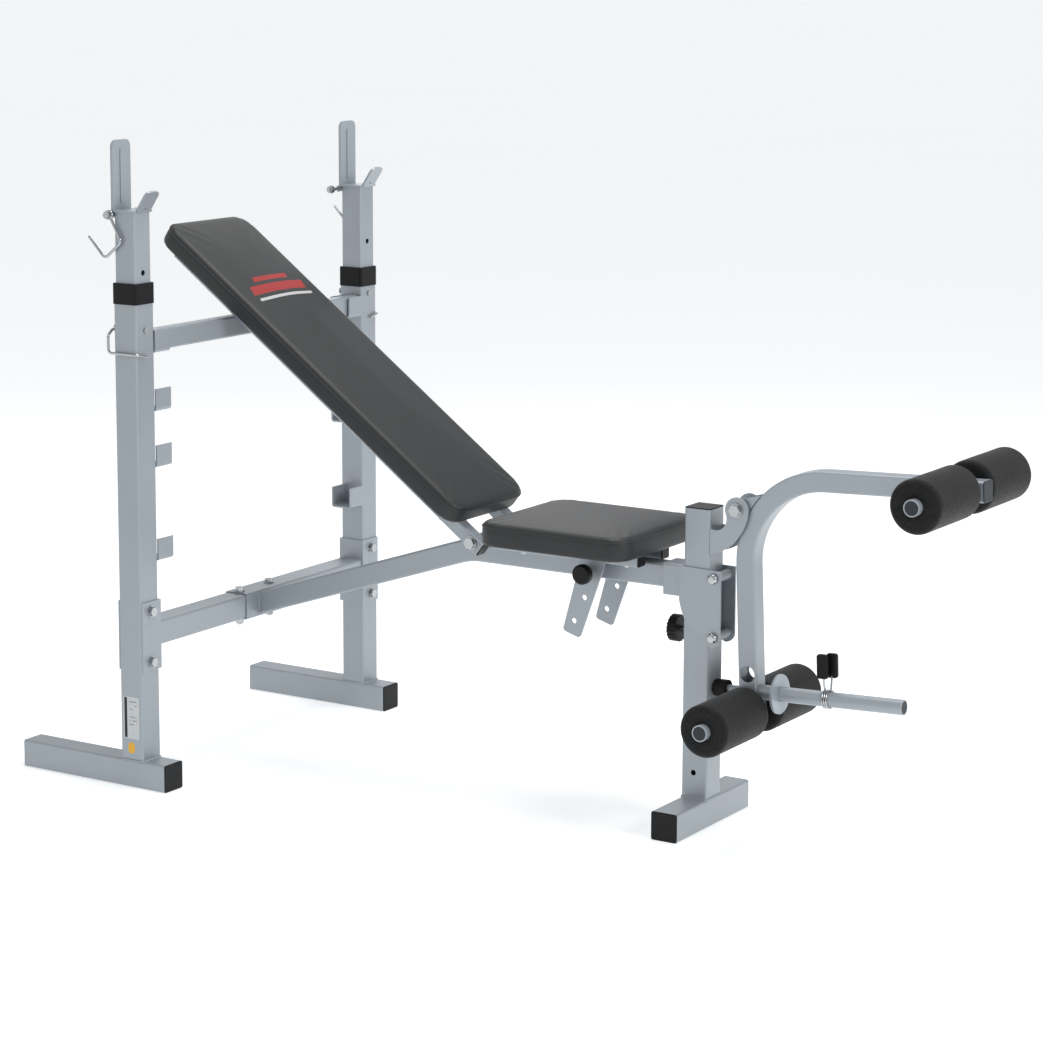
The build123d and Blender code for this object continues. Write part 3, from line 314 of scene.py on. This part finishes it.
def foil(centre, half):
    """Printed foil label: brushed silver with a black strip down its left edge and rows of fine print."""
    material, tree, shader = surface("label_foil", {"Metallic": 0.3, "Roughness": 0.4})
    local = add(tree, "Mapping", {"Vector": place(tree), "Location": centre}, vector_type="TEXTURE")
    xyz = add(tree, "SeparateXYZ", {0: local.outputs[0]})
    across, _, up = xyz.outputs
    base = linear("#B9BDBF")
    rows = add(tree, "Math", {0: up, 1: 900.0}, operation="MULTIPLY").outputs[0]
    stripe = add(tree, "Math", {0: rows}, operation="SINE").outputs[0]
    line = add(tree, "Math", {0: stripe, 1: 0.35}, operation="GREATER_THAN").outputs[0]
    ragged = add(tree, "TexNoise", {"Vector": place(tree), "Scale": per_mm(9), "Detail": 1.0}).outputs[0]
    broken = add(tree, "Math", {0: ragged, 1: 0.5}, operation="GREATER_THAN").outputs[0]
    block = band(tree, across, up, (0.004, 0.0), (half[0] - 0.009, half[1] - 0.006), 0.0)
    dim = add(tree, "Math", {0: line, 1: broken}, operation="MULTIPLY").outputs[0]
    dim = add(tree, "Math", {0: dim, 1: block}, operation="MULTIPLY").outputs[0]
    text = tone(tree, dim, base, linear("#8D9194"))
    strip = band(tree, across, up, (-0.0125, 0.0), (0.0032, half[1] - 0.0015), 0.0)
    mix = add(tree, "Mix", {0: strip}, data_type="RGBA")
    tree.links.new(text, mix.inputs[6])
    mix.inputs[7].default_value = linear("#1B1D20")
    tree.links.new(mix.outputs[2], shader.inputs["Base Color"])
    return material


# --- Surfaces -----------------------------------------------------------------------------------
def outline(half_a, half_b, radii, count):
    """Rounded rectangle of count evenly spaced points. Each quarter of the turn angle is a circle of
    its corner's radius about a centre set in by that radius, and the straight sides join them."""
    angle = np.linspace(0, 2 * np.pi, 256, endpoint=False) + 1e-4
    quarter = (angle // (np.pi / 2)).astype(int) % 4
    radius = np.array(radii, float)[quarter]
    a = np.sign(np.cos(angle)) * (half_a - radius) + radius * np.cos(angle)
    b = np.sign(np.sin(angle)) * (half_b - radius) + radius * np.sin(angle)
    a, b = np.append(a, a[0]), np.append(b, b[0])
    length = np.concatenate(([0], np.cumsum(np.hypot(np.diff(a), np.diff(b)))))
    even = np.linspace(0, length[-1], count, endpoint=False)
    return np.stack([np.interp(even, length, a), np.interp(even, length, b)], 1)


def quads(rows, cols, wrap_rows, wrap_cols):
    """Faces of a grid of points, joined round where a direction wraps."""
    r = np.arange(rows if wrap_rows else rows - 1)[:, None]
    c = np.arange(cols if wrap_cols else cols - 1)[None, :]
    r2, c2 = (r + 1) % rows, (c + 1) % cols
    corners = [r * cols + c, r * cols + c2, r2 * cols + c2, r2 * cols + c]
    return np.stack(corners, -1).reshape(-1, 4)


def outward(points, faces):
    """The faces, turned over if they enclose a negative volume."""
    a, b, c = (points[faces[:, i]] for i in range(3))
    volume = np.einsum("ij,ij->i", a, np.cross(b, c)).sum()
    if faces.shape[1] == 4:
        d = points[faces[:, 3]]
        volume += np.einsum("ij,ij->i", a, np.cross(c, d)).sum()
    return faces if volume > 0 else faces[:, ::-1]


def new_piece(name, points, faces, material):
    """Mesh object with smooth faces, with its place in its mesh. A grid's faces are turned outward; a
    list of faces, which may hold flat end faces of many sides, is taken as it faces."""
    mesh = bpy.data.meshes.new(name)
    if isinstance(faces, np.ndarray):
        faces = outward(points, faces).tolist()
    mesh.from_pydata(points.tolist(), [], faces)
    mesh.polygons.foreach_set("use_smooth", np.ones(len(mesh.polygons), bool))
    mesh.materials.append(material)
    piece = bpy.data.objects.new(name, mesh)
    bpy.context.scene.collection.objects.link(piece)
    return piece


def carried(piece, body):
    """Let a piece ride on a body."""
    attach(piece, body)
    return piece


def ring_tube(path, normal, radius, sides, ripple=0.0, waves=0):
    """Closed round tube along a closed flat path. Each point is the path plus the radius times a unit
    vector that turns from the path's outward side to its plane's normal; the radius may ripple."""
    tangent = np.roll(path, -1, 0) - np.roll(path, 1, 0)
    tangent /= np.linalg.norm(tangent, axis=1, keepdims=True)
    outer = np.cross(tangent, normal)
    turn = np.linspace(0, 2 * np.pi, sides, endpoint=False)
    along = np.linspace(0, 2 * np.pi * waves, len(path), endpoint=False)
    swell = radius * (1 + ripple * np.sin(along))[:, None, None]
    around = outer[:, None, :] * np.cos(turn)[None, :, None] + normal * np.sin(turn)[None, :, None]
    points = (path[:, None, :] + swell * around).reshape(-1, 3)
    return points, quads(len(path), sides, True, True)


def pad_shell(length, width, height, corner):
    """Closed pad whose skin wraps past its board's top face. Rings of a rounded rectangle follow a
    profile: flat underside, side that bulges as a cosine of the height, round top edge, and a crown
    that falls off with the square of the distance from the middle."""
    count = 320
    rim = outline(length / 2, width / 2, (corner,) * 4, count)
    turn = np.linspace(0, np.pi / 2, 9)
    side_h = np.linspace(0.5 - WRAP_UNDER, height - EDGE_ROUND, 7)
    side_in = SIDE_BULGE - SIDE_BULGE * np.cos(np.pi * (side_h / height - 0.5))
    top_in = EDGE_ROUND * (1 - np.cos(turn)) + side_in[-1]
    top_h = height - EDGE_ROUND + EDGE_ROUND * np.sin(turn)
    inset = np.concatenate(([SLACK], side_in, top_in[1:]))
    level = np.concatenate(([-WRAP_UNDER], side_h, top_h[1:]))
    tight = (1 - 2 * inset[:, None] / np.array([length, width])[None, :])
    rings = [np.concatenate([rim * tight[i], np.full((count, 1), level[i])], 1) for i in range(len(inset))]
    for share in (0.85, 0.6, 0.3):
        crown = level[-1] + CROWN * (1 - share ** 2)
        rings.append(np.concatenate([rim * tight[-1] * share, np.full((count, 1), crown)], 1))
    points = np.concatenate(rings)
    faces = quads(len(rings), count, False, True).tolist()
    last = (len(rings) - 1) * count
    faces.append(list(range(count)))
    faces.append(list(range(last, last + count))[::-1])
    return points * MM, faces


def applied(piece):
    """Mesh of a piece with its modifiers applied."""
    graph = bpy.context.evaluated_depsgraph_get()
    return bpy.data.meshes.new_from_object(piece.evaluated_get(graph))


def positions(mesh):
    """Vertex positions of a mesh as rows."""
    flat = np.zeros(len(mesh.vertices) * 3)
    mesh.vertices.foreach_get("co", flat)
    return flat.reshape(-1, 3)


def stuff(piece, height, cap):
    """Fill a pad by cloth simulation. The shell is remeshed, its underside and its seam are held and air
    pressure swells the panels between them. All moves are then scaled so that the largest is the cap."""
    remesh = piece.modifiers.new("even skin", "REMESH")
    remesh.mode, remesh.voxel_size, remesh.use_smooth_shade = "VOXEL", SKIN_GRID * MM, True
    smooth = piece.modifiers.new("even skin smoothing", "SMOOTH")
    smooth.factor, smooth.iterations = 0.5, 2
    skin = applied(piece)
    piece.modifiers.clear()
    piece.data = skin
    start = positions(skin)
    level = start[:, 2] / MM
    held = (level < HELD_FOOT) | (np.abs(level - (height - SEAM_DROP)) < SEAM_BAND)
    group = piece.vertex_groups.new(name="held")
    group.add(np.flatnonzero(held).tolist(), 1.0, "REPLACE")
    cloth = piece.modifiers.new("stuffing", "CLOTH")
    cloth.settings.vertex_group_mass = "held"
    cloth.settings.use_pressure = True
    cloth.settings.uniform_pressure_force = 4.0
    cloth.settings.effector_weights.gravity = 0.0
    cloth.settings.quality = 5
    cloth.collision_settings.use_self_collision = False
    for step in range(1, 21):
        bpy.context.scene.frame_set(step)
    swollen = positions(applied(piece))
    bpy.context.scene.frame_set(1)
    piece.modifiers.clear()
    move = swollen - start
    furthest = np.linalg.norm(move, axis=1).max()
    start = start + move * min(1.0, cap * MM / max(furthest, 1e-9))
    piece.vertex_groups.clear()
    skin.vertices.foreach_set("co", start.ravel())
    skin.polygons.foreach_set("use_smooth", np.ones(len(skin.polygons), bool))
    subdivide = piece.modifiers.new("fine skin", "SUBSURF")
    subdivide.levels = subdivide.render_levels = 1


def upholster(name, node, body, size, corner, put, material, cap):
    """One pad: its stuffed vinyl skin and the welt along its top seam, moved into place."""
    length, width, height = size
    low = height - SWELL_ROOM
    points, faces = pad_shell(length - 2 * SLACK, width - 2 * SLACK, low, corner)
    pad = new_piece(name, points, faces, material)
    stuff(pad, low, cap)
    pad.data.materials.clear()
    pad.data.materials.append(material)
    pad.data.transform(put)
    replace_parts(carried(pad, body), node)
    drawn_in = SLACK + WELT_INSET
    rim = outline(length / 2 - drawn_in, width / 2 - drawn_in, (corner,) * 4, WELT_POINTS)
    path = np.concatenate([rim, np.full((WELT_POINTS, 1), low - SEAM_DROP)], 1) * MM
    up = np.array([0.0, 0.0, 1.0])
    points, faces = ring_tube(path, up, WELT * MM, 8, 0.08, WELT_STITCHES)
    welt = new_piece(name + "_welt", points, faces, material)
    welt.data.transform(put)
    carried(welt, body)


# --- Settings -----------------------------------------------------------------------------------
class BenchSettings(bpy.types.PropertyGroup):
    """Sizes and colours of the bench's finishes."""

    paint: FloatVectorProperty(
        name="Frame paint", description="Colour of the powder coat", subtype="COLOR", size=4,
        default=linear("#979EA4"), min=0, max=1,
    )
    vinyl: FloatVectorProperty(
        name="Vinyl", description="Colour of the pads' vinyl", subtype="COLOR", size=4,
        default=linear("#1E1F20"), min=0, max=1,
    )
    foam: FloatVectorProperty(
        name="Foam", description="Colour of the rollers' foam", subtype="COLOR", size=4,
        default=linear("#0C0C0D"), min=0, max=1,
    )
    swell: FloatProperty(
        name="Pad swell", description="Most that a pad's skin may move outwards", unit="LENGTH", default=5 * MM,
        min=0, max=0.03,
    )
    weld: FloatProperty(
        name="Weld bead", description="Radius of a weld bead", unit="LENGTH", default=2.2 * MM, min=0, max=0.01,
    )


def settings():
    """This scene's bench settings."""
    return bpy.context.scene.bench_settings


# --- Operators ----------------------------------------------------------------------------------
class BENCH_OT_metalwork(bpy.types.Operator):
    """Paint the frame, plate the fasteners and wires, and colour the plastic and rubber pieces"""

    bl_idname = "bench.metalwork"
    bl_label = "Frame finishes"

    def execute(self, context):
        finishes = {
            "frame_paint": paint(settings().paint),
            "zinc_steel": plated("zinc_plated_steel", "#B6B9BB", 0.14, 0.3, 3.0),
            "chrome_wire": plated("chromed_spring_wire", "#B4B7BA", 0.05, 0.14, 6.0),
            "black_plastic": moulded("black_polyethylene", "#0D0D0F", 0.42, 0.9),
            "grey_plastic": moulded("grey_polyethylene", "#2E3236", 0.45, 0.9),
            "black_rubber": moulded("black_rubber", "#0F0F0F", 0.6, 1.2),
            "black_vinyl": vinyl("black_vinyl_plain", settings().vinyl),
            "black_foam": foam(settings().foam),
            "board_wood": board("particle_board", "#9A7B57"),
        }
        for part in frame["record"]["subparts"]:
            node = frame["nodes"][part["node"]]
            node.data.materials.clear()
            node.data.materials.append(finishes[part["material_slot"]])
        return {"FINISHED"}


class BENCH_OT_back_pad(bpy.types.Operator):
    """Upholster the back rest"""

    bl_idname = "bench.back_pad"
    bl_label = "Back rest pad"

    def execute(self, context):
        up = Vector((-cos(BACK_TILT), 0, sin(BACK_TILT)))
        out = Vector((sin(BACK_TILT), 0, cos(BACK_TILT)))
        left = Vector((0, 1, 0))
        middle = PIVOT + (up * (BACK_LOW + BACK_HIGH) / 2 + out * RAIL_HALF) * MM
        put = Matrix.Translation(middle) @ Matrix((up, -left, out)).transposed().to_4x4()
        mark = PIVOT + (up * MARK_ALONG + out * (RAIL_HALF + BACK_THICK)) * MM
        turn = Matrix((left, up, out)).transposed().to_euler()
        material = vinyl("black_vinyl_back", settings().vinyl, (mark, turn))
        size = (BACK_HIGH - BACK_LOW, BACK_WIDTH, BACK_THICK)
        upholster(
            "backrest_upholstery", "backrest_pad", "back_rest", size, BACK_CORNER, put, material,
            settings().swell / MM,
        )
        return {"FINISHED"}


class BENCH_OT_seat_pad(bpy.types.Operator):
    """Upholster the seat"""

    bl_idname = "bench.seat_pad"
    bl_label = "Seat pad"

    def execute(self, context):
        low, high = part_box("seat_pad")
        middle = (low + high) / 2
        put = Matrix.Translation((middle.x, middle.y, low.z))
        size = tuple((high - low) / MM)
        material = vinyl("black_vinyl_seat", settings().vinyl)
        upholster(
            "seat_upholstery", "seat_pad", "seat", size, SEAT_CORNER, put, material,
            settings().swell / MM,
        )
        return {"FINISHED"}


class BENCH_OT_rollers(bpy.types.Operator):
    """Make the four foam rollers"""

    bl_idname = "bench.rollers"
    bl_label = "Foam rollers"

    def execute(self, context):
        material = foam(settings().foam)
        for level in ("upper", "lower"):
            for side in ("left", "right"):
                node = f"foam_roller_{level}_{side}"
                low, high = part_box(node)
                middle = np.array((low + high) / 2) / MM
                half = (high.y - low.y) / 2 / MM
                radius = (high.z - low.z) / 2 / MM
                points, faces = self.roller(half, radius, ROLLER_BORE)
                piece = new_piece(f"foam_{level}_{side}", (points + middle) * MM, faces, material)
                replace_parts(carried(piece, f"roller_{level}_{side}"), node)
        return {"FINISHED"}

    @staticmethod
    def roller(half, radius, bore):
        """Foam sleeve: a rounded rectangle of wall, turned about Y. Its outside waves by a quarter of a
        millimetre along and around, as soft foam does, and its ends dish towards the tube."""
        wall = (radius - bore) / 2
        corners = (ROLLER_OUTER_CORNER,) * 2 + (ROLLER_INNER_CORNER,) * 2
        loop = outline(half, wall, corners, ROLLER_POINTS)
        turn = np.linspace(0, 2 * np.pi, ROLLER_TURN, endpoint=False)
        reach = bore + wall + loop[:, 1]
        along = loop[:, 0]
        outer = np.clip((reach - bore) / (radius - bore), 0, 1)
        at_end = np.sign(along) * (np.abs(along) > half - 4)
        dish = ROLLER_DISH * np.exp(-((reach - bore) / DISH_REACH) ** 2) * at_end
        wave = ROLLER_WAVE * np.sin(3 * turn)[:, None] * np.sin(along / 17.0)[None, :] * outer[None, :]
        far = reach[None, :] + wave - ROLLER_WAVE * outer[None, :]
        y = np.broadcast_to(along - dish, far.shape)
        points = np.stack([far * np.cos(turn)[:, None], y, far * np.sin(turn)[:, None]], -1)
        return points.reshape(-1, 3), quads(ROLLER_TURN, ROLLER_POINTS, True, True)


class BENCH_OT_welds(bpy.types.Operator):
    """Lay the weld beads under the three posts and where the beam meets the sleeve"""

    bl_idname = "bench.welds"
    bl_label = "Weld beads"

    def execute(self, context):
        material = frame["nodes"]["front_post"].data.materials[0]
        radius = settings().weld
        ahead, left, up = np.eye(3)
        for node in ("upright_left", "upright_right", "front_post"):
            low, high = (np.array(corner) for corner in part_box(node))
            middle = (low + high) / 2
            foot = (middle[0], middle[1], low[2])
            self.bead("weld_under_" + node, foot, (ahead, left, up), POST_HALF, radius, material)
        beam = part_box("main_beam")[0]
        end = (beam.x, 0.0, beam.z + BEAM_AXIS_UP * MM)
        self.bead("weld_behind_beam", end, (left, up, ahead), BEAM_HALF, radius, material)
        return {"FINISHED"}

    @staticmethod
    def bead(name, middle, axes, half, radius, material):
        """Weld bead round a square tube, with a ripple about every three millimetres."""
        loop = outline(half[0], half[1], (WELD_CORNER,) * 4, WELD_POINTS) * MM
        path = np.array(middle) + loop[:, :1] * axes[0] + loop[:, 1:] * axes[1]
        points, faces = ring_tube(path, axes[2], radius, 8, 0.14, WELD_RIPPLES)
        carried(new_piece(name, points, faces, material), "frame")


class BENCH_OT_labels(bpy.types.Operator):
    """Stick the foil label and the oval sticker on the right upright, both without words"""

    bl_idname = "bench.labels"
    bl_label = "Labels"

    def execute(self, context):
        low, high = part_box("upright_right")
        middle = (low.x + high.x) / 2
        face = low.y
        centre = (middle + FOIL_OFF * MM, face, FOIL_UP * MM)
        half = metres(FOIL_HALF)
        self.sticker("label_rating", centre, half, FOIL_CORNER, foil(centre, half))
        centre = (middle + OVAL_OFF * MM, face, OVAL_UP * MM)
        material = moulded("label_yellow_vinyl", "#D9A63A", 0.4, 2.0)
        self.sticker("label_oval", centre, metres(OVAL_HALF), OVAL_CORNER, material)
        return {"FINISHED"}

    @staticmethod
    def sticker(name, centre, half, corner, material):
        """Thin plate: a rounded rectangle at two depths, closed by a flat face on each side."""
        thick = STICKER_THICK * MM
        count = 120
        rim = outline(half[0] / MM, half[1] / MM, (corner,) * 4, count) * MM
        rings = [np.stack([rim[:, 0], np.full(count, -depth), rim[:, 1]], 1) for depth in (0.0, thick)]
        points = np.concatenate(rings) + np.array(centre)
        faces = quads(2, count, False, True).tolist()
        faces.append(list(range(count)))
        faces.append(list(range(count, 2 * count))[::-1])
        piece = new_piece(name, points, faces, material)
        piece.data.polygons.foreach_set("use_smooth", np.zeros(len(faces), bool))
        carried(piece, "frame")


class BENCH_OT_stage(bpy.types.Operator):
    """Lay the pale floor, hang the soft lights and set up the camera"""

    bl_idname = "bench.stage"
    bl_label = "Stage"

    def execute(self, context):
        scene = context.scene
        mesh = bpy.data.meshes.new("floor")
        # The floor runs past the horizon, so that it is the whole background.
        reach = 400.0
        corners = [(-reach, -reach, 0), (reach, -reach, 0), (reach, reach, 0), (-reach, reach, 0)]
        mesh.from_pydata(corners, [], [(0, 1, 2, 3)])
        floor = bpy.data.objects.new("floor", mesh)
        constants = {"Roughness": 0.7, "Specular IOR Level": 0.2, "Emission Strength": 0.4}
        material, tree, shader = surface("studio_floor", {**constants, "Emission Color": linear("#F7F8F8")})
        cloud = add(tree, "TexNoise", {"Vector": place(tree), "Scale": 0.6}).outputs[0]
        tree.links.new(tone(tree, cloud, linear("#F1F2F3"), linear("#F5F6F6")), shader.inputs["Base Color"])
        mesh.materials.append(material)
        scene.collection.objects.link(floor)

        world = bpy.data.worlds.new("studio")
        world.use_nodes = True
        world.node_tree.nodes["Background"].inputs[0].default_value = (0.96, 0.98, 1.0, 1.0)
        world.node_tree.nodes["Background"].inputs[1].default_value = 0.6
        scene.world = world
        # Each light: name, place, point it faces, size in metres and power in watts.
        lights = (
            ("key", (3.7, -0.5, 2.3), (0.0, 0, 0.5), 1.6, 62.0),
            ("fill", (-2.2, -3.4, 2.0), (0, 0, 0.6), 2.6, 8.0),
            ("top", (0.0, 0.4, 3.6), (0, 0, 0.4), 1.6, 50.0),
            ("back", (-2.2, 2.8, 2.6), (0, 0, 0.7), 2.0, 15.0),
        )
        for name, spot, target, size, power in lights:
            lamp = bpy.data.lights.new(name, "AREA")
            lamp.shape, lamp.size, lamp.energy = "DISK", size, power
            holder = bpy.data.objects.new(name, lamp)
            holder.location = spot
            holder.rotation_euler = (Vector(target) - Vector(spot)).to_track_quat("-Z", "Y").to_euler()
            scene.collection.objects.link(holder)

        lens = bpy.data.cameras.new("camera")
        lens.lens, lens.sensor_width, lens.shift_y = LENS, SENSOR, SHIFT_UP
        lens.clip_start, lens.clip_end = 0.1, 2000.0
        camera = bpy.data.objects.new("camera", lens)
        pan, tilt = Matrix.Rotation(EYE_PAN, 4, "Z"), Matrix.Rotation(EYE_TILT, 4, "X")
        turn = pan @ tilt @ Matrix.Rotation(EYE_ROLL, 4, "Z")
        camera.matrix_world = Matrix.Translation(Vector(EYE) * MM) @ turn
        scene.collection.objects.link(camera)
        scene.camera = camera
        scene.view_settings.view_transform = "Standard"
        return {"FINISHED"}


class BENCH_PT_panel(bpy.types.Panel):
    """Sidebar panel with the bench's settings and steps"""

    bl_idname = "BENCH_PT_panel"
    bl_label = "Weight bench"
    bl_space_type = "VIEW_3D"
    bl_region_type = "UI"
    bl_category = "Bench"

    def draw(self, context):
        for name in ("paint", "vinyl", "foam", "swell", "weld"):
            self.layout.prop(settings(), name)
        for operator in OPERATORS:
            self.layout.operator(operator.bl_idname)


OPERATORS = (
    BENCH_OT_stage, BENCH_OT_metalwork, BENCH_OT_back_pad, BENCH_OT_seat_pad, BENCH_OT_rollers,
    BENCH_OT_welds, BENCH_OT_labels,
)
CLASSES = (BenchSettings, *OPERATORS, BENCH_PT_panel)


def register():
    """Register the classes and the scene's settings."""
    for cls in CLASSES:
        bpy.utils.register_class(cls)
    bpy.types.Scene.bench_settings = PointerProperty(type=BenchSettings)


def unregister():
    """Remove the scene's settings and the classes."""
    del bpy.types.Scene.bench_settings
    for cls in reversed(CLASSES):
        bpy.utils.unregister_class(cls)


def main():
    register()
    bpy.ops.bench.stage()
    bpy.ops.bench.metalwork()
    bpy.ops.bench.back_pad()
    bpy.ops.bench.seat_pad()
    bpy.ops.bench.rollers()
    bpy.ops.bench.welds()
    bpy.ops.bench.labels()


if __name__ == "__main__":
    main()
